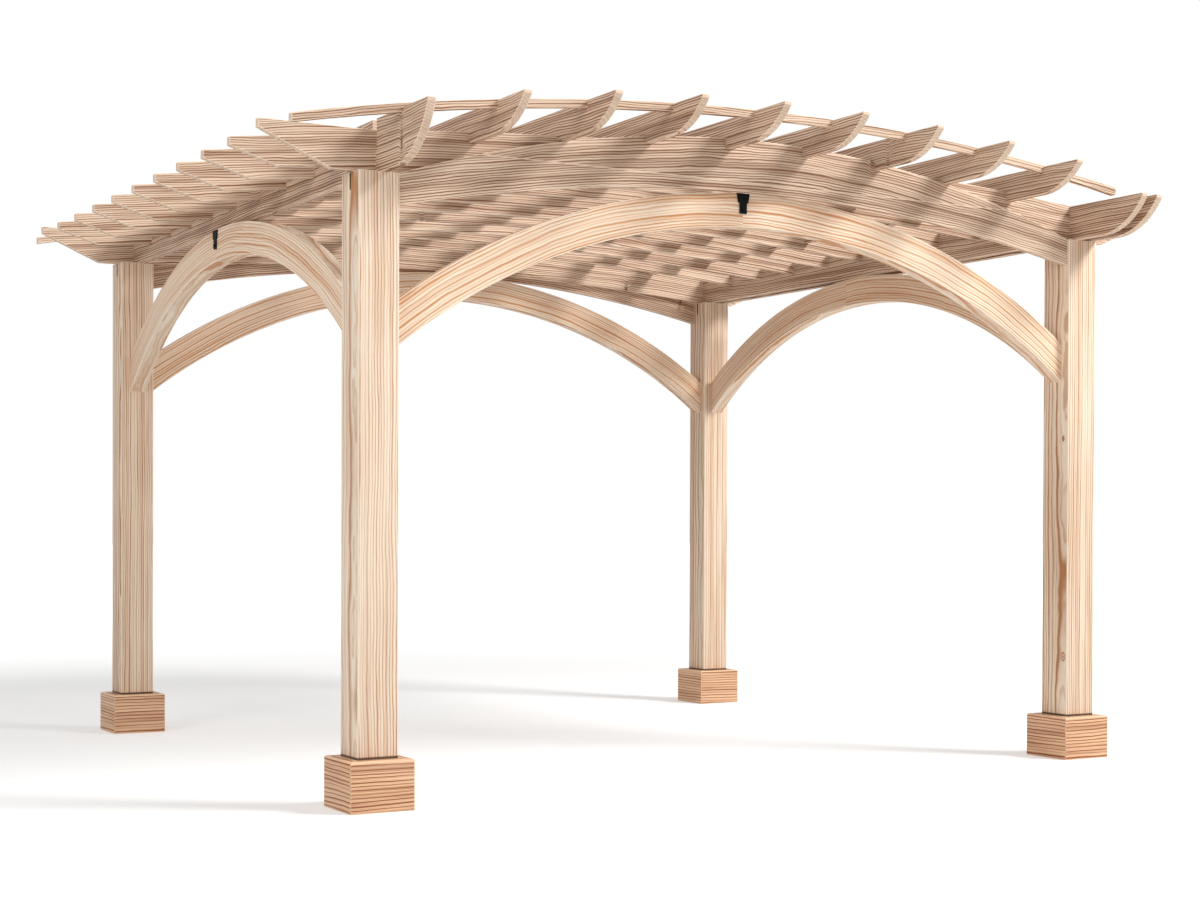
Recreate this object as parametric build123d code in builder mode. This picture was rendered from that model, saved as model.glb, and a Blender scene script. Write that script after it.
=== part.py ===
from build123d import *
import math
import os

# Wooden pergola: four posts, arched braces and a barrel-shaped roof of crossing boards.
# Origin: ground level, under the middle of the four posts. X runs along the front,
# Y runs from front to rear, Z is up. All sizes are in millimetres.

# Plan and posts
post_side = 190.5
post_height = 2760.0
post_chamfer = 3.0
outer_width = 4249.0
outer_depth = 3747.0

# Mitred boards round the foot of each post
base_board = 55.0
base_height = 224.0
base_eased_edge = 5.0
mitre_gap = 0.6

# Thickness of all the roof's boards, and the play in their half-laps
board = 38.0
lap_clearance = 0.3

# Cross boards, which run from side to side between the headers
cross_depth = 140.0
cross_lift = 87.0
cross_rise = 98.0
cross_count = 9

# Front and rear headers, which lie on the posts
header_depth = 184.0
header_setback = 50.75
header_crown_lap = 10.0

# Tapered tails of the headers and cross boards
side_overhang = 432.0
blunt_end = 37.0
taper_angle = 24.0

# Rafters, which run from front to rear across the boards
rafter_depth = 140.0
rafter_rise = 161.0
rafter_crown_lap = 55.0
rafter_count = 8

# Rim beams on the posts: a deep one on the left, two shallower ones on the right
left_rim_depth = 235.0
right_rim_depth = 184.0
rim_inset = 103.0

# Rounded tails of the rafters and rim beams
end_overhang = 476.0
tail_radius = 360.0
tail_nose = 13.0

# Battens let into the tops of the rafters
batten_side = 38.0
batten_proud = 6.0
batten_forward = 210.0
batten_left_overhang = 391.0
batten_right_overhang = 20.0

# Arched beams between the posts, each glued up from an upper and a lower piece
arch_end_depth = 138.0
arch_crown_depth = 248.0
arch_upper_depth = 205.0

# Arched braces, each made of two halves
brace_thickness = 89.0
brace_depth = 163.0
front_brace_fall = 629.0
side_brace_fall = 553.0
front_joint_offset = -115.0
side_joint_offset = 150.0

# Steel plates over the joints of the braces
plate_thickness = 6.0
plate_drop = 2.0
plate_top_width = 72.0
plate_shoulder_width = 56.0
plate_foot_width = 40.0
plate_height = 97.0
plate_shoulder_height = 45.0
plate_bolt_radius = 7.0
plate_bolt_height = 6.0
plate_bolt_rise = 18.0


def radius_for(half_span, rise):
    """Radius of an arc that falls by rise over half of its span."""
    return (half_span**2 + rise**2) / (2 * rise)


def drop(radius, distance):
    """How far an arc has fallen at a distance from its crown."""
    return radius - math.sqrt(radius**2 - distance**2)


# Places in plan
half_width = outer_width / 2
half_depth = outer_depth / 2
post_x = half_width - post_side / 2
post_y = half_depth - post_side / 2
inner_x = half_width - post_side
inner_y = half_depth - post_side
side_end = half_width + side_overhang
rear_end = half_depth + end_overhang
header_y = half_depth - header_setback - board / 2
arch_y = header_y + board
rim_x = half_width - rim_inset - board / 2
outer_rim_x = half_width - board / 2
batten_y = half_depth + batten_forward
cross_pitch = 2 * header_y / (cross_count + 1)
cross_places = [cross_pitch * step - header_y for step in range(1, cross_count + 1)]
rafter_pitch = 2 * rim_x / (rafter_count + 1)
rafter_places = [rafter_pitch * step - rim_x for step in range(1, rafter_count + 1)]

# Heights and radii, all raised from the tops of the posts
cross_crown = post_height + cross_lift + cross_depth + cross_rise
cross_radius = radius_for(rim_x, cross_rise)
rafter_crown = cross_crown - rafter_crown_lap + rafter_depth
rafter_radius = radius_for(rim_x, rafter_rise)
header_crown = rafter_crown - rafter_depth + header_crown_lap
header_arc_end = rim_x + board / 2
header_radius = radius_for(header_arc_end, header_crown - post_height - header_depth)
arch_crown = cross_crown
arch_top_radius = radius_for(inner_x, arch_crown - post_height)
arch_bottom_crown = arch_crown - arch_crown_depth
arch_bottom_radius = radius_for(inner_x, arch_bottom_crown - post_height + arch_end_depth)
arch_seam_height = arch_crown - arch_upper_depth
front_brace_crown = arch_bottom_crown
side_brace_crown = post_height
rims = [
    ("left_rim_beam", -rim_x, left_rim_depth, True),
    ("right_rim_beam", rim_x, right_rim_depth, True),
    ("right_outer_rim_beam", outer_rim_x, right_rim_depth, False),
]

# How a notch's box stands on its seat
above_seat = (Align.CENTER, Align.CENTER, Align.MIN)
below_seat = (Align.CENTER, Align.CENTER, Align.MAX)
notch_width = board + 2 * lap_clearance

os.makedirs("parts", exist_ok=True)


def header_top_at(x):
    """Top of a header: an arc over the span, level over the tails."""
    return header_crown - drop(header_radius, min(abs(x), header_arc_end))


def cross_top_at(x):
    return cross_crown - drop(cross_radius, x)


def rafter_top_at(x):
    return rafter_crown - drop(rafter_radius, x)


def arch_top_at(x):
    return arch_crown - drop(arch_top_radius, x)


def batten_bottom_at(x):
    return rafter_top_at(x) + batten_proud - batten_side


def crossing_seat(top_at, depth, x, low, high):
    """Middle of the height that a long board and the board crossing it at x share."""
    shared_low = max(top_at(x) - depth, low)
    shared_high = min(top_at(x), high)
    return (shared_low + shared_high) / 2


def write(part, name):
    part.label = name
    export_step(part, "parts/" + name + ".step")


def make_post(name, x, y):
    with BuildPart() as post:
        with BuildSketch(Plane.XY):
            with Locations((x, y)):
                Rectangle(post_side, post_side)
        extrude(amount=post_height)
        chamfer(post.edges().filter_by(Axis.Z), post_chamfer)
    write(post.part, name)


def make_base_trim(name, x, y):
    """Four mitred boards round a post, their top outer edges eased."""
    inner = post_side / 2
    outer = inner + base_board
    half_gap = mitre_gap / math.sqrt(2)
    with BuildPart() as trim:
        for turn in range(4):
            with BuildSketch(Plane.XY.move(Location((x, y, 0), (0, 0, 90 * turn)))):
                with BuildLine():
                    Polyline(
                        (-inner + half_gap, -inner),
                        (inner - half_gap, -inner),
                        (outer - half_gap, -outer),
                        (-outer + half_gap, -outer),
                        close=True,
                    )
                make_face()
            extrude(amount=base_height)
        top_edges = trim.edges().group_by(Axis.Z)[-1]
        outer_edges = top_edges.filter_by(lambda edge: edge.length > 2 * outer - 4 * mitre_gap)
        chamfer(outer_edges, base_eased_edge)
    write(trim.part, name)


def long_board_outline(top_at, depth, arc_end):
    """A header or cross board: an arc out to arc_end, and tapered tails."""
    crown = top_at(0)
    tip_top = top_at(side_end)
    root_top = top_at(arc_end)
    taper_x = side_end - (depth - blunt_end) / math.tan(math.radians(taper_angle))
    bottom_x = min(arc_end, taper_x)
    bottom_z = top_at(bottom_x) - depth
    taper_z = top_at(taper_x) - depth
    ThreePointArc((-arc_end, root_top), (0, crown), (arc_end, root_top))
    ThreePointArc((-bottom_x, bottom_z), (0, crown - depth), (bottom_x, bottom_z))
    for side in (-1, 1):
        if arc_end < side_end:
            Line((side * arc_end, root_top), (side * side_end, tip_top))
        Line((side * side_end, tip_top), (side * side_end, tip_top - blunt_end))
        Line((side * side_end, tip_top - blunt_end), (side * taper_x, taper_z))
        if bottom_x < taper_x:
            Line((side * taper_x, taper_z), (side * bottom_x, bottom_z))


def make_long_board(name, y, top_at, depth, arc_end):
    """A header or cross board, lapped under the rafters and over the rim beams."""
    with BuildPart() as long_board:
        with BuildSketch(Plane.XZ.offset(-y)):
            with BuildLine():
                long_board_outline(top_at, depth, arc_end)
            make_face()
        extrude(amount=board / 2, both=True)
        for x in rafter_places:
            high = rafter_top_at(x)
            seat = crossing_seat(top_at, depth, x, high - rafter_depth, high)
            with Locations((x, y, seat)):
                Box(notch_width, 2 * board, 2 * depth, align=above_seat, mode=Mode.SUBTRACT)
        for rim_name, x, rim_depth, takes_battens in rims:
            seat = crossing_seat(top_at, depth, x, post_height, post_height + rim_depth)
            with Locations((x, y, seat)):
                Box(notch_width, 2 * board, 2 * depth, align=below_seat, mode=Mode.SUBTRACT)
    write(long_board.part, name)


def run_board_outline(low, high):
    """A rafter or rim beam, with a tail at each end rounded up to a thin nose."""
    nose = high - tail_nose
    turn = math.acos(1 - (nose - low) / tail_radius)
    start = rear_end - tail_radius * math.sin(turn)
    middle_y = start + tail_radius * math.sin(turn / 2)
    middle_z = low + tail_radius * (1 - math.cos(turn / 2))
    Line((-rear_end, high), (rear_end, high))
    Line((-start, low), (start, low))
    for end in (-1, 1):
        Line((end * rear_end, high), (end * rear_end, nose))
        ThreePointArc((end * rear_end, nose), (end * middle_y, middle_z), (end * start, low))


def make_run_board(name, x, low, high, lap_align, takes_battens, spans_arches):
    """A rafter or rim beam, with its laps cut from below or above."""
    crossings = [(y, cross_top_at, cross_depth) for y in cross_places]
    crossings += [(y, header_top_at, header_depth) for y in (-header_y, header_y)]
    notch_height = 2 * (high - low)
    with BuildPart() as run_board:
        with BuildSketch(Plane.YZ.offset(x)):
            with BuildLine():
                run_board_outline(low, high)
            make_face()
        extrude(amount=board / 2, both=True)
        for y, top_at, depth in crossings:
            with Locations((x, y, crossing_seat(top_at, depth, x, low, high))):
                Box(2 * board, notch_width, notch_height, align=lap_align, mode=Mode.SUBTRACT)
        batten_seat = batten_bottom_at(abs(x) + board / 2)
        arch_seat = arch_top_at(abs(x) - board / 2)
        for end in (-1, 1):
            if takes_battens:
                with Locations((x, end * batten_y, batten_seat)):
                    batten_notch = batten_side + 2 * lap_clearance
                    Box(2 * board, batten_notch, notch_height, align=above_seat, mode=Mode.SUBTRACT)
            if spans_arches and arch_seat > low:
                with Locations((x, end * arch_y, arch_seat)):
                    Box(2 * board, notch_width, notch_height, align=below_seat, mode=Mode.SUBTRACT)
    write(run_board.part, name)


def make_arch_beam(name, y, kept):
    """The upper or lower piece of an arched beam, cut at its level glue line."""
    bottom_end = post_height - arch_end_depth
    with BuildPart() as arch_beam:
        with BuildSketch(Plane.XZ.offset(-y)):
            with BuildLine():
                ThreePointArc((-inner_x, post_height), (0, arch_crown), (inner_x, post_height))
                Line((inner_x, post_height), (inner_x, bottom_end))
                ThreePointArc((inner_x, bottom_end), (0, arch_bottom_crown), (-inner_x, bottom_end))
                Line((-inner_x, bottom_end), (-inner_x, post_height))
            make_face()
        extrude(amount=board / 2, both=True)
        split(bisect_by=Plane.XY.offset(arch_seam_height), keep=kept)
    write(arch_beam.part, name)


def make_batten(name, y):
    left = -half_width - batten_left_overhang
    right = rim_x + board / 2 + batten_right_overhang
    left_low = batten_bottom_at(left)
    right_low = batten_bottom_at(right)
    with BuildPart() as batten:
        with BuildSketch(Plane.XZ.offset(-y)):
            with BuildLine():
                ThreePointArc((left, left_low), (0, batten_bottom_at(0)), (right, right_low))
                Line((right, right_low), (right, right_low + batten_side))
                ThreePointArc(
                    (right, right_low + batten_side),
                    (0, batten_bottom_at(0) + batten_side),
                    (left, left_low + batten_side),
                )
                Line((left, left_low + batten_side), (left, left_low))
            make_face()
        extrude(amount=batten_side / 2, both=True)
    write(batten.part, name)


def make_brace_half(name, plane, crown, fall, reach, joint):
    """Half of an arched brace, from the joint to the post at reach along the plane's x."""
    radius = radius_for(reach, fall)
    centre_z = crown - radius
    arcs = []
    for arc_radius in (radius, radius - brace_depth):
        start = math.asin(joint / arc_radius)
        finish = math.asin(reach / arc_radius)
        turns = (start, (start + finish) / 2, finish)
        arcs.append(
            [(arc_radius * math.sin(t), centre_z + arc_radius * math.cos(t)) for t in turns]
        )
    outer_arc, inner_arc = arcs
    with BuildPart() as brace:
        with BuildSketch(plane):
            with BuildLine():
                ThreePointArc(*outer_arc)
                Line(outer_arc[-1], inner_arc[-1])
                ThreePointArc(*inner_arc)
                Line(inner_arc[0], outer_arc[0])
            make_face()
        extrude(amount=brace_thickness / 2, both=True)
    write(brace.part, name)


def plate_outline(top):
    """A stepped plate that hangs down from top."""
    foot = top - plate_height
    shoulder = top - plate_shoulder_height
    Polyline(
        (-plate_top_width / 2, top),
        (plate_top_width / 2, top),
        (plate_shoulder_width / 2, shoulder),
        (plate_foot_width / 2, shoulder),
        (plate_foot_width / 2, foot),
        (-plate_foot_width / 2, foot),
        (-plate_foot_width / 2, shoulder),
        (-plate_shoulder_width / 2, shoulder),
        close=True,
    )


for end, y in (("front", -post_y), ("rear", post_y)):
    for side, x in (("left", -post_x), ("right", post_x)):
        make_post("post_" + end + "_" + side, x, y)
        make_base_trim("base_trim_" + end + "_" + side, x, y)

for end, y in (("front", -post_y), ("rear", post_y)):
    to_right = Plane(origin=(0, y, 0), x_dir=(1, 0, 0), z_dir=(0, -1, 0))
    to_left = Plane(origin=(0, y, 0), x_dir=(-1, 0, 0), z_dir=(0, 1, 0))
    front_sizes = (front_brace_crown, front_brace_fall, inner_x)
    make_brace_half(end + "_brace_right", to_right, *front_sizes, front_joint_offset)
    make_brace_half(end + "_brace_left", to_left, *front_sizes, -front_joint_offset)

for side, x in (("left", -post_x), ("right", post_x)):
    to_rear = Plane(origin=(x, 0, 0), x_dir=(0, 1, 0), z_dir=(1, 0, 0))
    to_front = Plane(origin=(x, 0, 0), x_dir=(0, -1, 0), z_dir=(-1, 0, 0))
    side_sizes = (side_brace_crown, side_brace_fall, inner_y)
    make_brace_half(side + "_brace_rear", to_rear, *side_sizes, side_joint_offset)
    make_brace_half(side + "_brace_front", to_front, *side_sizes, -side_joint_offset)

for end, side in (("front", -1), ("rear", 1)):
    make_long_board(end + "_header", side * header_y, header_top_at, header_depth, header_arc_end)
    make_arch_beam(end + "_arch_lower", side * arch_y, Keep.BOTTOM)
    make_arch_beam(end + "_arch_upper", side * arch_y, Keep.TOP)
    make_batten(end + "_batten", side * batten_y)

for number, y in enumerate(cross_places, start=1):
    make_long_board("cross_board_" + str(number), y, cross_top_at, cross_depth, side_end)

for number, x in enumerate(rafter_places, start=1):
    high = rafter_top_at(x)
    make_run_board("rafter_" + str(number), x, high - rafter_depth, high, below_seat, True, True)

for name, x, depth, takes_battens in rims:
    make_run_board(name, x, post_height, post_height + depth, above_seat, takes_battens, False)

front_face = post_y + brace_thickness / 2
side_face = post_x + brace_thickness / 2
front_joint_drop = drop(radius_for(inner_x, front_brace_fall), front_joint_offset)
side_joint_drop = drop(radius_for(inner_y, side_brace_fall), side_joint_offset)
front_plate_top = front_brace_crown - front_joint_drop - plate_drop
side_plate_top = side_brace_crown - side_joint_drop - plate_drop
plate_places = [
    (Plane(origin=(front_joint_offset, -front_face, 0), z_dir=(0, -1, 0), x_dir=(1, 0, 0)), front_plate_top),
    (Plane(origin=(front_joint_offset, front_face, 0), z_dir=(0, 1, 0), x_dir=(-1, 0, 0)), front_plate_top),
    (Plane(origin=(-side_face, side_joint_offset, 0), z_dir=(-1, 0, 0), x_dir=(0, -1, 0)), side_plate_top),
    (Plane(origin=(side_face, side_joint_offset, 0), z_dir=(1, 0, 0), x_dir=(0, 1, 0)), side_plate_top),
]
with BuildPart() as crown_plates:
    for plane, top in plate_places:
        with BuildSketch(plane):
            with BuildLine():
                plate_outline(top)
            make_face()
        extrude(amount=plate_thickness)
        with BuildSketch(plane.offset(plate_thickness)):
            with Locations((0, top - plate_height + plate_bolt_rise)):
                Circle(plate_bolt_radius)
        extrude(amount=plate_bolt_height)
write(crown_plates.part, "crown_plates")
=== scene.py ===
"""Looks for a timber pergola: eased edges and a grain of its own for every board of the CAD frame."""
import math
import random

import bmesh
import bpy
from mathutils import Matrix, Vector


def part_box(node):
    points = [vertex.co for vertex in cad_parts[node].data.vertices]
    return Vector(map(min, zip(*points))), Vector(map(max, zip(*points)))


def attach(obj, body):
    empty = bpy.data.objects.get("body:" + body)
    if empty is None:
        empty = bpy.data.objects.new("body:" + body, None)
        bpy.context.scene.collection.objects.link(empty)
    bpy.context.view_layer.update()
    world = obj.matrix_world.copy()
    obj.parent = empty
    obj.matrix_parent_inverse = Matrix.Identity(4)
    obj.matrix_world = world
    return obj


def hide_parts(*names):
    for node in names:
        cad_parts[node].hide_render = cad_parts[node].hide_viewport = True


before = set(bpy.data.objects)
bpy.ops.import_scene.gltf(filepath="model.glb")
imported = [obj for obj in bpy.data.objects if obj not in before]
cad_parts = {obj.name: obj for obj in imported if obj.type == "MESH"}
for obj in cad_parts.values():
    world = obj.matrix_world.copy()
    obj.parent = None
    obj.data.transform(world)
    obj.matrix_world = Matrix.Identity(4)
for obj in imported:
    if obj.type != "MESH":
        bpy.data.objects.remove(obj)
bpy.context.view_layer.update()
rng = random.Random(4249)

# Sizes of the frame, in metres, as they are in the CAD source.
POST_X = 2.02925
POST_Y = 1.77825
POST_TOP = 2.760
TRIM_TOP = 0.224
FRONT_JOINT_X = -0.115
SIDE_JOINT_Y = 0.150
CROSS_BOARD_COUNT = 9
RAFTER_COUNT = 8

# Brace arcs: height of the centre, radius of the line where the grain is measured from, and cutting turn.
FRONT_BRACE_ARC = (-0.451, 3.2065, 0.022)
SIDE_BRACE_ARC = (-0.0775, 2.756, 0.026)

# Roof boards sawn to an arc: height of the crown, radius, grain line's offset from it, and cutting turn.
BOARD_ARCS = {
    "header": (3.040, 21.332, -0.092, 0.012),
    "arch_upper": (3.085, 5.917, -0.070, 0.022),
    "arch_lower": (2.837, 8.806, 0.050, 0.014),
    "batten": (3.138, 12.534, 0.0, 0.012),
    "cross_board": (3.085, 20.508, -0.070, 0.014),
}

# How far the sander eased the edges, and how near a brace joint an edge is left sharp.
POST_EASE = 0.004
BRACE_EASE = 0.004
BOARD_EASE = 0.0025
TRIM_EASE = 0.003
JOINT_REACH = 0.003
SHARP_TURN = math.radians(28)
SMOOTH_TURN = math.radians(16)
FLAT_TURN = math.radians(0.4)
WELD_REACH = 2e-5
CUT_REACH = 1e-5
EASE_STEPS = 2
EASE_ROUNDNESS = 0.6

# Where the tree's heart lay from the middle of each kind of timber: across the face and through it.
POST_HEART = (0.30, 0.07)
BRACE_HEART = (0.30, 0.08)
ROOF_HEART = (0.26, 0.09)
TRIM_HEART = (0.30, 0.10)
TRIM_HEART_SHIFT = 0.2
HEART_ACROSS_SPREAD = (0.85, 1.25)
HEART_THROUGH_SPREAD = (0.5, 1.5)
LOG_LENGTH = 60.0

# A face counts as end grain as its slope against the grain goes from the first share to the second.
END_FROM = 0.05
END_RANGE = 0.30
SLOPE_STEP = 0.004

# What pushes the rings about: changes per metre along and across the timber, detail, share of the waviness.
BEND = ((0.8, 3.0), 1.5, 3.0)
SWAY = ((2.3, 7.0), 1.0, 1.6)
RIPPLE = ((10.0, 24.0), 1.0, 0.40)

# Rings, counted in ring widths: how uneven they are, and where in each one the late wood peaks and drops.
UNEVEN_CHANGES = 0.36
UNEVEN_AMOUNT = 1.15
RING_PEAK = 0.86
RING_DROP = (0.90, 0.995)
FAINTEST_RING = 0.45
FADE_CHANGES = (1.6, 9.0)
FADE_RANGE = (0.25, 0.7)
FADED_RING = 0.70
SECOND_RINGS = 2.63
SECOND_RISE = (0.45, 0.85)
SECOND_DROP = (0.88, 1.0)
SECOND_STRENGTH = 0.30
BAND_CHANGES = (0.8, 34.0)
BAND_RANGE = (0.40, 0.72)
BAND_STRENGTH = 0.30

# Fine marks: changes per metre along and across the timber, and the range of the noise that shows.
FIBRES = (7.0, 330.0)
FIBRE_RANGE = (0.3, 0.75)
DRIFT = (0.9, 11.0)
DRIFT_RANGE = (0.3, 0.7)
RESIN = (1.3, 46.0)
RESIN_RANGE = (0.66, 0.80)
WEAR_CHANGES = 9.0
WEAR_RANGE = (0.35, 0.65)

# Knots, in eye sizes from the middle: where the eye, its halo and its push on the rings fade out.
EYE_FADE = (0.55, 1.0)
HALO_FADE = (0.9, 3.2)
PUSH_FADE = (0.5, 6.0)
SMALLEST_EYE = 0.35

# How strongly each mark shows in the wood's colour, roughness and relief.
WARMTH_OF_DRIFT = 0.6
WARMTH_OF_BOARD = 0.4
FIBRE_DEPTH = 0.14
STREAK_DEPTH = 0.38
HALO_DEPTH = 0.55
EYE_DEPTH = 0.9
END_DEPTH = 0.14
END_CALM = 0.72
EDGE_CALM = 0.85
FIBRE_ROUGHNESS = 0.14
RING_GLOSS = 0.10
FIBRE_RELIEF = 0.55
RING_RELIEF = 0.45
WOOD_RELIEF = (0.40, 0.0012)

# Painted contact shadow in the joint above a base trim: how far up it is dark, where it ends, and how dark
# it is.
JOINT_SHADOW_FULL_TO = 0.008
JOINT_SHADOW_ENDS_AT = 0.014
JOINT_SHADOW_DEPTH = 0.94

# Colours of the wood between the growth rings and in them, each with a warmer or deeper twin.
CREAM = (0.970, 0.855, 0.715, 1.0)
CREAM_WARM = (0.920, 0.775, 0.605, 1.0)
TAN = (0.500, 0.225, 0.080, 1.0)
TAN_DEEP = (0.390, 0.160, 0.054, 1.0)
BRACE_EARLY = (1.000, 0.900, 0.760, 1.0)
BRACE_WARM = (0.980, 0.830, 0.650, 1.0)
AMBER = (0.620, 0.280, 0.088, 1.0)
AMBER_DEEP = (0.520, 0.210, 0.062, 1.0)
ROOF_EARLY = (1.000, 0.810, 0.635, 1.0)
ROOF_WARM = (0.900, 0.680, 0.500, 1.0)
ROOF_LATE = (0.255, 0.108, 0.047, 1.0)
ROOF_DEEP = (0.190, 0.076, 0.032, 1.0)
BASE_EARLY = (0.980, 0.700, 0.470, 1.0)
BASE_WARM = (0.900, 0.560, 0.320, 1.0)
BASE_LATE = (0.330, 0.088, 0.026, 1.0)
BASE_DEEP = (0.230, 0.052, 0.014, 1.0)
KNOT_EYE = (0.115, 0.045, 0.018, 1.0)
# The colour of the painted contact shadow above the base trims.
JOINT_SHADOW_COLOUR = (0.060, 0.026, 0.012, 1.0)
COAT_DARK = (0.002, 0.002, 0.002, 1.0)
COAT_LIGHT = (0.006, 0.006, 0.006, 1.0)
COAT_CLOUDS = 30.0
COAT_SPECKS = 900.0
COAT_ROUGHNESS = (0.50, 0.66)
COAT_SHEEN = 0.08
COAT_RELIEF = (0.2, 0.0004)
WHITE = (1.0, 1.0, 1.0, 1.0)

# The thin steel plates let into the post tops.
KERF_PLATE_LENGTH = 0.1915
KERF_PLATE_THICKNESS = 0.011
KERF_PLATE_HEIGHT = 0.074
KERF_PLATE_BELOW_TOP = 0.040

# Studio: the floor, the lamps' places, sizes, powers and colours, and the camera fitted to the photo.
FLOOR_HALF = 80.0
FLOOR_GREY = (0.80, 0.80, 0.80, 1.0)
FLOOR_GLOW_NEAR = 0.34
FLOOR_GLOW_FAR = 1.0
FLOOR_GLOW_FROM = 5.0
FLOOR_GLOW_TO = 16.0
SKY_ON_WOOD = 0.44
LAMP_TARGET = (0.0, 0.0, 1.6)
KEY_LIGHT = ((9.0, -9.5, 11.5), 5.0, 2300.0, (1.0, 0.985, 0.96))
FILL_LIGHT = ((-11.0, -6.0, 5.0), 6.0, 340.0, (1.0, 0.98, 0.96))
CAMERA_PLACE = Vector((-5.40454, -9.69297, 1.26571))
CAMERA_YAW = 0.5199
CAMERA_PITCH = -0.0115
CAMERA_ROLL = 0.0039
LENS_MM = 58.88
SENSOR_MM = 36.0
LENS_SHIFT_UP = 0.0746
CAMERA_SIGHT = 400.0


def straight(axis):
    """Grain along one axis: returns (along, across, through) for a point."""
    def place(p):
        if axis == "x":
            return p.x, p.z, p.y
        if axis == "y":
            return p.y, p.z, p.x
        return p.z, p.x, p.y
    return place


def curved(axis, centre_z, radius):
    """Grain that follows an arch in the XZ or YZ plane, with its centre at height centre_z."""
    def place(p):
        run = p.x if axis == "x" else p.y
        side = p.y if axis == "x" else p.x
        rise = p.z - centre_z
        return math.atan2(run, rise) * radius, math.hypot(run, rise) - radius, side
    return place


def whole(place, across_middle, through_middle):
    """One board: every face has the same grain, measured from the board's middle."""
    def board_of(middle):
        return None, place, across_middle, through_middle
    return board_of


def mitred(centre_x, centre_y):
    """Four boards round a post: a face belongs to the board on its own side."""
    def board_of(middle):
        from_x = middle.x - centre_x
        from_y = middle.y - centre_y
        if abs(from_y) >= abs(from_x):
            return ("x", from_y > 0), straight("x"), 0.0, centre_y - TRIM_HEART_SHIFT
        return ("y", from_x > 0), straight("y"), 0.0, centre_x - TRIM_HEART_SHIFT
    return board_of


def middle_of(node, place):
    """The middle of a node's box, across the grain and through the board."""
    low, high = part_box(node)
    return place((low + high) / 2)[1:]


def cut_along(bm, axis, centre_z, step):
    """Cuts an arched timber into short lengths, so that its grain bends smoothly."""
    runs = [v.co.x if axis == "x" else v.co.y for v in bm.verts]
    turns = [math.atan2(run, v.co.z - centre_z) for run, v in zip(runs, bm.verts)]
    first, last = min(turns), max(turns)
    count = max(1, int((last - first) / step))
    for i in range(1, count):
        turn = first + (last - first) * i / count
        normal = Vector((math.cos(turn), 0.0, -math.sin(turn)))
        if axis == "y":
            normal = Vector((0.0, math.cos(turn), -math.sin(turn)))
        bmesh.ops.bisect_plane(bm, geom=bm.verts[:] + bm.edges[:] + bm.faces[:], dist=CUT_REACH,
                               plane_co=(0.0, 0.0, centre_z), plane_no=normal)


def at_joint(edge):
    """True for an edge where the two halves of an arched brace butt together."""
    return (all(abs(v.co.x - FRONT_JOINT_X) < JOINT_REACH for v in edge.verts)
            or all(abs(v.co.y - SIDE_JOINT_Y) < JOINT_REACH for v in edge.verts))


def ease_edges(bm, width):
    """Rounds every sharp edge but those at a brace joint, and returns the faces that the rounding made."""
    sharp = [e for e in bm.edges
             if len(e.link_faces) == 2 and e.calc_face_angle(0.0) > SHARP_TURN and not at_joint(e)]
    made = bmesh.ops.bevel(bm, geom=sharp, offset=width, offset_type="OFFSET", segments=EASE_STEPS,
                           profile=EASE_ROUNDNESS, affect="EDGES", clamp_overlap=True, loop_slide=False)
    return set(made["faces"])


def draw_tone():
    """A board's own shade, and how far along its log it was cut."""
    return rng.uniform(-1.0, 1.0), rng.uniform(0.0, LOG_LENGTH)


def dress(node, board_of, material, width, heart, bent=None):
    """A timber with eased edges and its own stretch of grain, standing for one CAD node."""
    bm = bmesh.new()
    bm.from_mesh(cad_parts[node].data)
    bmesh.ops.remove_doubles(bm, verts=bm.verts, dist=WELD_REACH)
    bmesh.ops.dissolve_limit(bm, angle_limit=FLAT_TURN, verts=bm.verts, edges=bm.edges)
    eased = bm.faces.layers.int.new("eased")
    grain = bm.loops.layers.float_vector.new("grain")
    tone = bm.loops.layers.float.new("tone")
    edge = bm.loops.layers.float.new("edge")
    end = bm.loops.layers.float.new("end")
    for face in ease_edges(bm, width):
        face[eased] = 1
    if bent:
        cut_along(bm, *bent)
    tones = {None: draw_tone()}
    heart_across = heart[0] * rng.uniform(*HEART_ACROSS_SPREAD)
    heart_through = heart[1] * rng.uniform(*HEART_THROUGH_SPREAD)
    for face in bm.faces:
        middle = face.calc_center_median()
        board, place, across_middle, through_middle = board_of(middle)
        if board not in tones:
            tones[board] = draw_tone()
        shade, slide = tones[board]
        slope = abs(place(middle + face.normal * SLOPE_STEP)[0] - place(middle)[0]) / SLOPE_STEP
        for loop in face.loops:
            along, across, through = place(loop.vert.co)
            loop[grain] = Vector((along + slide, across - across_middle + heart_across,
                                  through - through_middle + heart_through))
            loop[tone] = shade
            loop[edge] = float(face[eased])
            loop[end] = min(1.0, max(0.0, (slope - END_FROM) / END_RANGE))
        face.smooth = True
    for e in bm.edges:
        if len(e.link_faces) == 2:
            e.smooth = e.calc_face_angle(0.0) < SMOOTH_TURN
    mesh = bpy.data.meshes.new(node + "_timber")
    bm.to_mesh(mesh)
    bm.free()
    piece = bpy.data.objects.new(node + "_timber", mesh)
    bpy.context.scene.collection.objects.link(piece)
    mesh.materials.append(material)
    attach(piece, "root")
    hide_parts(node)


def wire(tree, source, target):
    tree.links.new(source, target)


def feed(tree, value, socket):
    """Gives a socket a number or colour of its own, or links it to an output."""
    if isinstance(value, (int, float, tuple)):
        socket.default_value = value
    else:
        wire(tree, value, socket)


def new_group(name, inputs, outputs):
    """An empty shader group with named number sockets; returns the group and its two end nodes."""
    group = bpy.data.node_groups.new(name, "ShaderNodeTree")
    for label, value in inputs:
        socket = group.interface.new_socket(name=label, in_out="INPUT", socket_type="NodeSocketFloat")
        socket.default_value = value
    for label in outputs:
        group.interface.new_socket(name=label, in_out="OUTPUT", socket_type="NodeSocketFloat")
    return group, group.nodes.new("NodeGroupInput"), group.nodes.new("NodeGroupOutput")


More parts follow.
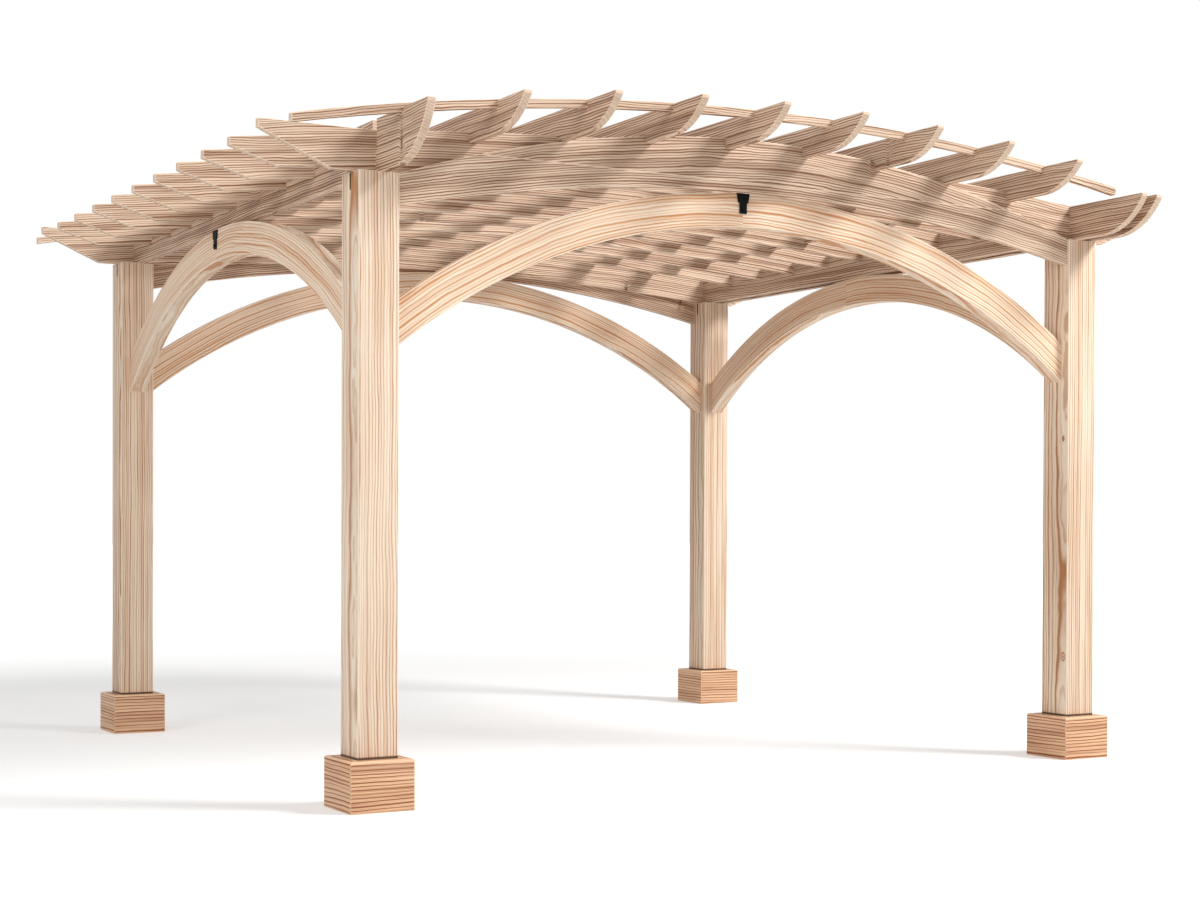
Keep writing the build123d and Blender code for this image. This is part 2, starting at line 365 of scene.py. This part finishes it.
def math_node(tree, operation, a, b=None, c=None, clamp=False):
    node = tree.nodes.new("ShaderNodeMath")
    node.operation = operation
    node.use_clamp = clamp
    for i, value in enumerate((a, b, c)):
        if value is not None:
            feed(tree, value, node.inputs[i])
    return node.outputs[0]


def times(tree, a, b):
    return math_node(tree, "MULTIPLY", a, b)


def times_plus(tree, a, b, c, clamp=False):
    """a times b, plus c."""
    return math_node(tree, "MULTIPLY_ADD", a, b, c, clamp)


def stretch(tree, value, low, high, out_low=0.0, out_high=1.0, smooth=True):
    """Maps low..high to out_low..out_high, with soft ends where smooth is set."""
    node = tree.nodes.new("ShaderNodeMapRange")
    node.interpolation_type = "SMOOTHSTEP" if smooth else "LINEAR"
    node.clamp = True
    wire(tree, value, node.inputs["Value"])
    for label, limit in (("From Min", low), ("From Max", high), ("To Min", out_low), ("To Max", out_high)):
        feed(tree, limit, node.inputs[label])
    return node.outputs["Result"]


def vector_of(tree, x, y, z):
    node = tree.nodes.new("ShaderNodeCombineXYZ")
    for i, value in enumerate((x, y, z)):
        feed(tree, value, node.inputs[i])
    return node.outputs[0]


def noise(tree, vector, scale, detail, roughness=0.5):
    node = tree.nodes.new("ShaderNodeTexNoise")
    node.inputs["Scale"].default_value = scale
    node.inputs["Detail"].default_value = detail
    node.inputs["Roughness"].default_value = roughness
    wire(tree, vector, node.inputs["Vector"])
    return node.outputs["Fac"]


def timber_noise(tree, axes, changes, detail, roughness=0.5):
    """Noise drawn out along the timber: changes per metre along it and across it."""
    along, across, through = axes
    spot = vector_of(tree, times(tree, along, changes[0]), times(tree, across, changes[1]),
                     times(tree, through, changes[1]))
    return noise(tree, spot, 1.0, detail, roughness)


def ring_noise(tree, along, radius, changes):
    """Noise that follows the rings: changes per metre along the timber and out from the heart."""
    spot = vector_of(tree, times(tree, along, changes[0]), times(tree, radius, changes[1]), 0.0)
    return noise(tree, spot, 1.0, 2.0)


def named(tree, label, output="Fac"):
    """An attribute that dress() wrote on the piece."""
    node = tree.nodes.new("ShaderNodeAttribute")
    node.attribute_name = label
    return node.outputs[output]


def parted(tree, vector):
    """A vector's three numbers."""
    node = tree.nodes.new("ShaderNodeSeparateXYZ")
    wire(tree, vector, node.inputs[0])
    return node.outputs


def length_of(tree, vector):
    node = tree.nodes.new("ShaderNodeVectorMath")
    node.operation = "LENGTH"
    wire(tree, vector, node.inputs[0])
    return node.outputs["Value"]


def mix_colour(tree, amount, a, b):
    node = tree.nodes.new("ShaderNodeMix")
    node.data_type = "RGBA"
    factor, first, second = node.inputs[0], node.inputs[6], node.inputs[7]
    feed(tree, amount, factor)
    feed(tree, a, first)
    feed(tree, b, second)
    return node.outputs[2]


def relief(tree, shader, height, strength, distance):
    """Bumps the shader's surface by a height."""
    bump = tree.nodes.new("ShaderNodeBump")
    bump.inputs["Strength"].default_value = strength
    bump.inputs["Distance"].default_value = distance
    wire(tree, height, bump.inputs["Height"])
    wire(tree, bump.outputs["Normal"], shader.inputs["Normal"])


def knot_group():
    """Small knots where branches left the trunk: a dark eye, a halo, and how far they push the rings."""
    tree, start, finish = new_group(
        "knots",
        [("Per Metre", 1.6), ("Eye Size", 0.016), ("Share", 0.45), ("Push", 0.014), ("Turn Length", 0.30)],
        ["Eye", "Halo", "Shift"])
    given = start.outputs
    along, across, through = parted(tree, named(tree, "grain", "Vector"))
    round_trunk = times(tree, math_node(tree, "ARCTAN2", through, across), given["Turn Length"])
    cells = tree.nodes.new("ShaderNodeTexVoronoi")
    cells.voronoi_dimensions = "2D"
    cells.feature = "F1"
    cells.inputs["Scale"].default_value = 1.0
    place = vector_of(tree, times(tree, along, given["Per Metre"]),
                      times(tree, round_trunk, given["Per Metre"]), 0.0)
    wire(tree, place, cells.inputs["Vector"])
    pick = tree.nodes.new("ShaderNodeSeparateColor")
    wire(tree, cells.outputs["Color"], pick.inputs[0])
    chosen = math_node(tree, "LESS_THAN", pick.outputs[0], given["Share"])
    size = times(tree, times(tree, given["Eye Size"], given["Per Metre"]),
                 stretch(tree, pick.outputs[1], 0.0, 1.0, SMALLEST_EYE, 1.0, smooth=False))
    near = math_node(tree, "DIVIDE", cells.outputs["Distance"], size)
    for label, fade in (("Eye", EYE_FADE), ("Halo", HALO_FADE)):
        wire(tree, times(tree, stretch(tree, near, *fade, 1.0, 0.0), chosen), finish.inputs[label])
    pushed = times(tree, stretch(tree, near, *PUSH_FADE, 1.0, 0.0), chosen)
    wire(tree, times(tree, pushed, given["Push"]), finish.inputs["Shift"])
    return tree


def grain_group():
    """Growth rings seen where the saw cut them, with fine fibres and slow changes of tone."""
    tree, start, finish = new_group(
        "timber grain",
        [("Ring Width", 0.0135), ("Waviness", 0.012), ("Shift", 0.0), ("Late Start", 0.35)],
        ["Latewood", "Fibre", "Drift", "Streak", "Height"])
    given = start.outputs
    axes = parted(tree, named(tree, "grain", "Vector"))
    along, across, through = axes
    radius = length_of(tree, vector_of(tree, across, through, 0.0))

    # The distance from the heart, pushed about by slow bends, a sway and a ripple.
    moved = radius
    for changes, detail, share in (BEND, SWAY, RIPPLE):
        push = math_node(tree, "SUBTRACT", timber_noise(tree, axes, changes, detail), 0.5)
        moved = times_plus(tree, push, times(tree, given["Waviness"], share), moved)
    moved = math_node(tree, "ADD", moved, given["Shift"])

    # Rings of uneven width, each with a slow start, a sharp finish and its own strength.
    turn = math_node(tree, "DIVIDE", moved, given["Ring Width"])
    uneven = tree.nodes.new("ShaderNodeTexNoise")
    uneven.noise_dimensions = "1D"
    uneven.inputs["Scale"].default_value = UNEVEN_CHANGES
    uneven.inputs["Detail"].default_value = 1.0
    wire(tree, turn, uneven.inputs["W"])
    turn = times_plus(tree, uneven.outputs["Fac"], UNEVEN_AMOUNT, turn)
    part = math_node(tree, "FRACT", turn)
    rise = stretch(tree, part, given["Late Start"], RING_PEAK)
    line = times(tree, rise, stretch(tree, part, *RING_DROP, 1.0, 0.0))
    dice = tree.nodes.new("ShaderNodeTexWhiteNoise")
    dice.noise_dimensions = "1D"
    wire(tree, math_node(tree, "FLOOR", turn), dice.inputs["W"])
    darkness = stretch(tree, dice.outputs["Value"], 0.0, 1.0, FAINTEST_RING, 1.0, smooth=False)
    line = times(tree, line, darkness)
    fade = ring_noise(tree, along, radius, FADE_CHANGES)
    line = times(tree, line, stretch(tree, fade, *FADE_RANGE, FADED_RING, 1.0))

    # Fainter rings between them, and broad bands where the tree grew slowly.
    second = math_node(tree, "FRACT", times(tree, turn, SECOND_RINGS))
    second = times(tree, stretch(tree, second, *SECOND_RISE), stretch(tree, second, *SECOND_DROP, 1.0, 0.0))
    line = math_node(tree, "MAXIMUM", line, times(tree, second, SECOND_STRENGTH))
    bands = stretch(tree, ring_noise(tree, along, radius, BAND_CHANGES), *BAND_RANGE)
    line = times_plus(tree, bands, BAND_STRENGTH, line, clamp=True)
    wire(tree, line, finish.inputs["Latewood"])

    fibres = timber_noise(tree, axes, FIBRES, 3.0, 0.6)
    wire(tree, fibres, finish.inputs["Fibre"])
    wire(tree, timber_noise(tree, axes, DRIFT, 3.0), finish.inputs["Drift"])
    wire(tree, stretch(tree, timber_noise(tree, axes, RESIN, 2.0), *RESIN_RANGE), finish.inputs["Streak"])
    height = times_plus(tree, fibres, FIBRE_RELIEF, times(tree, line, RING_RELIEF))
    wire(tree, height, finish.inputs["Height"])
    return tree


def wear_group():
    """Where handling and weather have rubbed the eased edges, broken up along the timber."""
    tree, start, finish = new_group("edge wear", [("Amount", 0.5)], ["Worn"])
    patch = noise(tree, named(tree, "grain", "Vector"), WEAR_CHANGES, 3.0, 0.6)
    amount = times(tree, stretch(tree, patch, *WEAR_RANGE), start.outputs["Amount"])
    wire(tree, times(tree, amount, named(tree, "edge")), finish.inputs["Worn"])
    return tree


KNOTS = knot_group()
GRAIN = grain_group()
WEAR = wear_group()


def joint_shadow_band(tree):
    """Painted contact shadow where a post goes into its base trim."""
    height = parted(tree, tree.nodes.new("ShaderNodeTexCoord").outputs["Object"])[2]
    band = stretch(tree, height, TRIM_TOP + JOINT_SHADOW_FULL_TO, TRIM_TOP + JOINT_SHADOW_ENDS_AT, JOINT_SHADOW_DEPTH, 0.0)
    return times(tree, band, math_node(tree, "GREATER_THAN", height, TRIM_TOP))


def timber(name, early, early_warm, late, late_deep, ring_width, waviness, late_start, strength,
           knots, rough, paint_joint_shadow=False):
    """Pale softwood: cream early wood, tan late wood, knots, calmer end grain and softly worn edges."""
    material = bpy.data.materials.new(name)
    material.use_nodes = True
    tree = material.node_tree
    tree.nodes.clear()
    output = tree.nodes.new("ShaderNodeOutputMaterial")
    shader = tree.nodes.new("ShaderNodeBsdfPrincipled")
    wire(tree, shader.outputs[0], output.inputs["Surface"])

    groups = []
    for group in (KNOTS, GRAIN, WEAR):
        groups.append(tree.nodes.new("ShaderNodeGroup"))
        groups[-1].node_tree = group
    knot, grain, wear = groups
    knot.inputs["Share"].default_value = knots
    grain.inputs["Ring Width"].default_value = ring_width
    grain.inputs["Waviness"].default_value = waviness
    grain.inputs["Late Start"].default_value = late_start
    wire(tree, knot.outputs["Shift"], grain.inputs["Shift"])

    shade = stretch(tree, named(tree, "tone"), -1.0, 1.0, 0.0, 1.0, smooth=False)
    drift = stretch(tree, grain.outputs["Drift"], *DRIFT_RANGE)
    warmth = times_plus(tree, drift, WARMTH_OF_DRIFT, times(tree, shade, WARMTH_OF_BOARD))
    fibre = stretch(tree, grain.outputs["Fibre"], *FIBRE_RANGE)
    line = times_plus(tree, fibre, FIBRE_DEPTH, times(tree, grain.outputs["Latewood"], strength), clamp=True)
    end_grain = named(tree, "end")
    calm = times(tree, times_plus(tree, end_grain, -END_CALM, 1.0),
                 times_plus(tree, named(tree, "edge"), -EDGE_CALM, 1.0))
    colour = mix_colour(tree, times(tree, line, calm), mix_colour(tree, warmth, early, early_warm),
                        mix_colour(tree, warmth, late, late_deep))
    for amount, over in ((times(tree, grain.outputs["Streak"], STREAK_DEPTH), late_deep),
                         (times(tree, knot.outputs["Halo"], HALO_DEPTH), late_deep),
                         (times(tree, knot.outputs["Eye"], EYE_DEPTH), KNOT_EYE),
                         (times(tree, end_grain, END_DEPTH), late_deep),
                         (wear.outputs["Worn"], early)):
        colour = mix_colour(tree, amount, colour, over)
    # Painted shade: a contact shadow just above the base trim, mixed into the post's colour.
    if paint_joint_shadow:
        colour = mix_colour(tree, joint_shadow_band(tree), colour, JOINT_SHADOW_COLOUR)
    wire(tree, colour, shader.inputs["Base Color"])
    roughness = times_plus(tree, fibre, FIBRE_ROUGHNESS, rough)
    roughness = times_plus(tree, grain.outputs["Latewood"], -RING_GLOSS, roughness)
    wire(tree, roughness, shader.inputs["Roughness"])
    relief(tree, shader, grain.outputs["Height"], *WOOD_RELIEF)
    return material


def steel():
    """Black powder coat with a faint orange-peel texture."""
    material = bpy.data.materials.new("black_steel_coat")
    material.use_nodes = True
    tree = material.node_tree
    shader = tree.nodes["Principled BSDF"]
    where = tree.nodes.new("ShaderNodeTexCoord").outputs["Object"]
    cloud = noise(tree, where, COAT_CLOUDS, 3.0)
    wire(tree, mix_colour(tree, cloud, COAT_DARK, COAT_LIGHT), shader.inputs["Base Color"])
    wire(tree, stretch(tree, cloud, 0.3, 0.7, *COAT_ROUGHNESS), shader.inputs["Roughness"])
    relief(tree, shader, noise(tree, where, COAT_SPECKS, 2.0), *COAT_RELIEF)
    shader.inputs["Specular IOR Level"].default_value = COAT_SHEEN
    return material


frame_timber = timber("frame_timber", CREAM, CREAM_WARM, TAN, TAN_DEEP, ring_width=0.0140, waviness=0.013,
                      late_start=0.42, strength=1.12, knots=0.50, rough=0.56, paint_joint_shadow=True)
brace_timber = timber("brace_timber", BRACE_EARLY, BRACE_WARM, AMBER, AMBER_DEEP, ring_width=0.0150,
                      waviness=0.018, late_start=0.30, strength=1.18, knots=0.40, rough=0.56)
roof_timber = timber("roof_timber", ROOF_EARLY, ROOF_WARM, ROOF_LATE, ROOF_DEEP, ring_width=0.0115,
                     waviness=0.018, late_start=0.34, strength=1.60, knots=0.35, rough=0.58)
base_timber = timber("base_timber", BASE_EARLY, BASE_WARM, BASE_LATE, BASE_DEEP, ring_width=0.0165,
                     waviness=0.010, late_start=0.46, strength=1.45, knots=0.25, rough=0.56)
black_steel = steel()


def lay(node, axis, material, width, heart):
    """A straight timber with its grain along one axis."""
    place = straight(axis)
    dress(node, whole(place, *middle_of(node, place)), material, width, heart)


def lay_bent(node, axis, centre_z, radius, step, material, slot_name, width, heart):
    """A timber sawn to an arc, with its grain bent the same way."""
    through_middle = middle_of(node, straight(axis))[1]
    board_of = whole(curved(axis, centre_z, radius), 0.0, through_middle)
    dress(node, board_of, material, width, heart, bent=(axis, centre_z, step))


def lay_brace(node, axis, arc):
    lay_bent(node, axis, *arc, brace_timber, "frame_wood", BRACE_EASE, BRACE_HEART)


def lay_board(node, kind):
    crown, radius, offset, step = BOARD_ARCS[kind]
    lay_bent(node, "x", crown - radius, radius + offset, step, roof_timber, "roof_wood", BOARD_EASE,
             ROOF_HEART)


for end_name, y_sign in (("front", -1), ("rear", 1)):
    for side_name, x_sign in (("left", -1), ("right", 1)):
        lay(f"post_{end_name}_{side_name}", "z", frame_timber, POST_EASE, POST_HEART)
        dress(f"base_trim_{end_name}_{side_name}", mitred(x_sign * POST_X, y_sign * POST_Y), base_timber,
              TRIM_EASE, TRIM_HEART)
for end_name in ("front", "rear"):
    for side_name in ("left", "right"):
        lay_brace(f"{end_name}_brace_{side_name}", "x", FRONT_BRACE_ARC)
for side_name in ("left", "right"):
    for end_name in ("front", "rear"):
        lay_brace(f"{side_name}_brace_{end_name}", "y", SIDE_BRACE_ARC)
for end_name in ("front", "rear"):
    for kind in ("header", "arch_upper", "arch_lower", "batten"):
        lay_board(f"{end_name}_{kind}", kind)
for number in range(1, CROSS_BOARD_COUNT + 1):
    lay_board(f"cross_board_{number}", "cross_board")
for number in range(1, RAFTER_COUNT + 1):
    lay(f"rafter_{number}", "y", roof_timber, BOARD_EASE, ROOF_HEART)
for node in ("left_rim_beam", "right_rim_beam", "right_outer_rim_beam"):
    lay(node, "y", roof_timber, BOARD_EASE, ROOF_HEART)


def kerf_plate_tree():
    """Thin steel plates let into saw kerfs at the post tops, one on every point of the guide mesh."""
    tree = bpy.data.node_groups.new("kerf plates", "GeometryNodeTree")
    face = tree.interface
    face.new_socket(name="Posts", in_out="INPUT", socket_type="NodeSocketGeometry")
    for label, value in (("Plate Length", KERF_PLATE_LENGTH), ("Plate Thickness", KERF_PLATE_THICKNESS),
                         ("Plate Height", KERF_PLATE_HEIGHT)):
        face.new_socket(name=label, in_out="INPUT", socket_type="NodeSocketFloat").default_value = value
    face.new_socket(name="Steel", in_out="INPUT", socket_type="NodeSocketMaterial")
    face.new_socket(name="Plates", in_out="OUTPUT", socket_type="NodeSocketGeometry")
    given = tree.nodes.new("NodeGroupInput").outputs
    size = vector_of(tree, given["Plate Length"], given["Plate Thickness"], given["Plate Height"])
    plate = tree.nodes.new("GeometryNodeMeshCube")
    wire(tree, size, plate.inputs["Size"])
    put = tree.nodes.new("GeometryNodeInstanceOnPoints")
    wire(tree, given["Posts"], put.inputs["Points"])
    wire(tree, plate.outputs["Mesh"], put.inputs["Instance"])
    real = tree.nodes.new("GeometryNodeRealizeInstances")
    wire(tree, put.outputs["Instances"], real.inputs[0])
    paint = tree.nodes.new("GeometryNodeSetMaterial")
    wire(tree, real.outputs[0], paint.inputs["Geometry"])
    wire(tree, given["Steel"], paint.inputs["Material"])
    wire(tree, paint.outputs[0], tree.nodes.new("NodeGroupOutput").inputs["Plates"])
    return tree


def set_input(modifier, label, value):
    for item in modifier.node_group.interface.items_tree:
        if item.item_type == "SOCKET" and item.in_out == "INPUT" and item.name == label:
            modifier[item.identifier] = value


def make_kerf_plates():
    """The plates' mesh is read off the modifier, which is then taken away with its guide."""
    guide = bpy.data.meshes.new("post_tops")
    guide.from_pydata([(x * POST_X, y * POST_Y, POST_TOP - KERF_PLATE_BELOW_TOP)
                       for x in (-1, 1) for y in (-1, 1)], [], [])
    holder = bpy.data.objects.new("post_tops", guide)
    bpy.context.scene.collection.objects.link(holder)
    modifier = holder.modifiers.new("kerf plates", "NODES")
    modifier.node_group = kerf_plate_tree()
    set_input(modifier, "Steel", black_steel)
    bpy.context.view_layer.update()
    shown = holder.evaluated_get(bpy.context.evaluated_depsgraph_get())
    mesh = bpy.data.meshes.new_from_object(shown)
    holder.modifiers.remove(modifier)
    bpy.data.objects.remove(holder)
    plates = bpy.data.objects.new("kerf_plates", mesh)
    bpy.context.scene.collection.objects.link(plates)
    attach(plates, "root")


make_kerf_plates()
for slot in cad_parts["crown_plates"].material_slots:
    slot.material = black_steel


def seen_rays(tree):
    """1 for rays that show a surface to the camera, straight on, mirrored or through glass."""
    rays = tree.nodes.new("ShaderNodeLightPath").outputs
    return math_node(tree, "MAXIMUM", rays["Is Camera Ray"],
                     math_node(tree, "MAXIMUM", rays["Is Glossy Ray"], rays["Is Transmission Ray"]))


def studio_floor_material():
    """A pale floor that keeps the shadows near the pergola and glows white towards the horizon."""
    material = bpy.data.materials.new("studio_floor")
    material.use_nodes = True
    tree = material.node_tree
    tree.nodes.clear()
    diffuse = tree.nodes.new("ShaderNodeBsdfDiffuse")
    diffuse.inputs["Color"].default_value = FLOOR_GREY
    glow = tree.nodes.new("ShaderNodeEmission")
    glow.inputs["Color"].default_value = WHITE
    reach = length_of(tree, tree.nodes.new("ShaderNodeTexCoord").outputs["Object"])
    level = stretch(tree, reach, FLOOR_GLOW_FROM, FLOOR_GLOW_TO, FLOOR_GLOW_NEAR, FLOOR_GLOW_FAR)
    wire(tree, times(tree, seen_rays(tree), level), glow.inputs["Strength"])
    both = tree.nodes.new("ShaderNodeAddShader")
    wire(tree, diffuse.outputs[0], both.inputs[0])
    wire(tree, glow.outputs[0], both.inputs[1])
    wire(tree, both.outputs[0], tree.nodes.new("ShaderNodeOutputMaterial").inputs["Surface"])
    return material


def lay_floor():
    mesh = bpy.data.meshes.new("studio_floor")
    corners = [(-FLOOR_HALF, -FLOOR_HALF, 0.0), (FLOOR_HALF, -FLOOR_HALF, 0.0),
               (FLOOR_HALF, FLOOR_HALF, 0.0), (-FLOOR_HALF, FLOOR_HALF, 0.0)]
    mesh.from_pydata(corners, [], [(0, 1, 2, 3)])
    mesh.materials.append(studio_floor_material())
    sheet = bpy.data.objects.new("studio_floor", mesh)
    bpy.context.scene.collection.objects.link(sheet)


def light_sky():
    """White where the sky is seen, softer where it lights the wood."""
    world = bpy.data.worlds.new("studio")
    bpy.context.scene.world = world
    world.use_nodes = True
    tree = world.node_tree
    tree.nodes.clear()
    sky = tree.nodes.new("ShaderNodeBackground")
    sky.inputs["Color"].default_value = WHITE
    strength = stretch(tree, seen_rays(tree), 0.0, 1.0, SKY_ON_WOOD, 1.0, smooth=False)
    wire(tree, strength, sky.inputs["Strength"])
    wire(tree, sky.outputs[0], tree.nodes.new("ShaderNodeOutputWorld").inputs["Surface"])


def softbox(name, place, size, power, colour):
    lamp = bpy.data.lights.new(name, "AREA")
    lamp.shape = "DISK"
    lamp.size = size
    lamp.energy = power
    lamp.color = colour
    piece = bpy.data.objects.new(name, lamp)
    bpy.context.scene.collection.objects.link(piece)
    piece.location = place
    piece.rotation_euler = (Vector(LAMP_TARGET) - Vector(place)).to_track_quat("-Z", "Y").to_euler()


def set_camera():
    forward = Vector((math.sin(CAMERA_YAW) * math.cos(CAMERA_PITCH),
                      math.cos(CAMERA_YAW) * math.cos(CAMERA_PITCH), math.sin(CAMERA_PITCH)))
    right = Vector((math.cos(CAMERA_YAW), -math.sin(CAMERA_YAW), 0.0))
    up = right.cross(forward)
    turned_right = right * math.cos(CAMERA_ROLL) + up * math.sin(CAMERA_ROLL)
    turned_up = -right * math.sin(CAMERA_ROLL) + up * math.cos(CAMERA_ROLL)
    lens = bpy.data.cameras.new("photo_camera")
    lens.lens = LENS_MM
    lens.sensor_width = SENSOR_MM
    lens.sensor_fit = "HORIZONTAL"
    lens.shift_y = LENS_SHIFT_UP
    lens.clip_end = CAMERA_SIGHT
    camera = bpy.data.objects.new("photo_camera", lens)
    bpy.context.scene.collection.objects.link(camera)
    camera.matrix_world = Matrix((
        (turned_right.x, turned_up.x, -forward.x, CAMERA_PLACE.x),
        (turned_right.y, turned_up.y, -forward.y, CAMERA_PLACE.y),
        (turned_right.z, turned_up.z, -forward.z, CAMERA_PLACE.z),
        (0.0, 0.0, 0.0, 1.0)))
    bpy.context.scene.camera = camera


lay_floor()
light_sky()
softbox("key_light", *KEY_LIGHT)
softbox("fill_light", *FILL_LIGHT)
set_camera()
bpy.context.scene.view_settings.view_transform = "Standard"
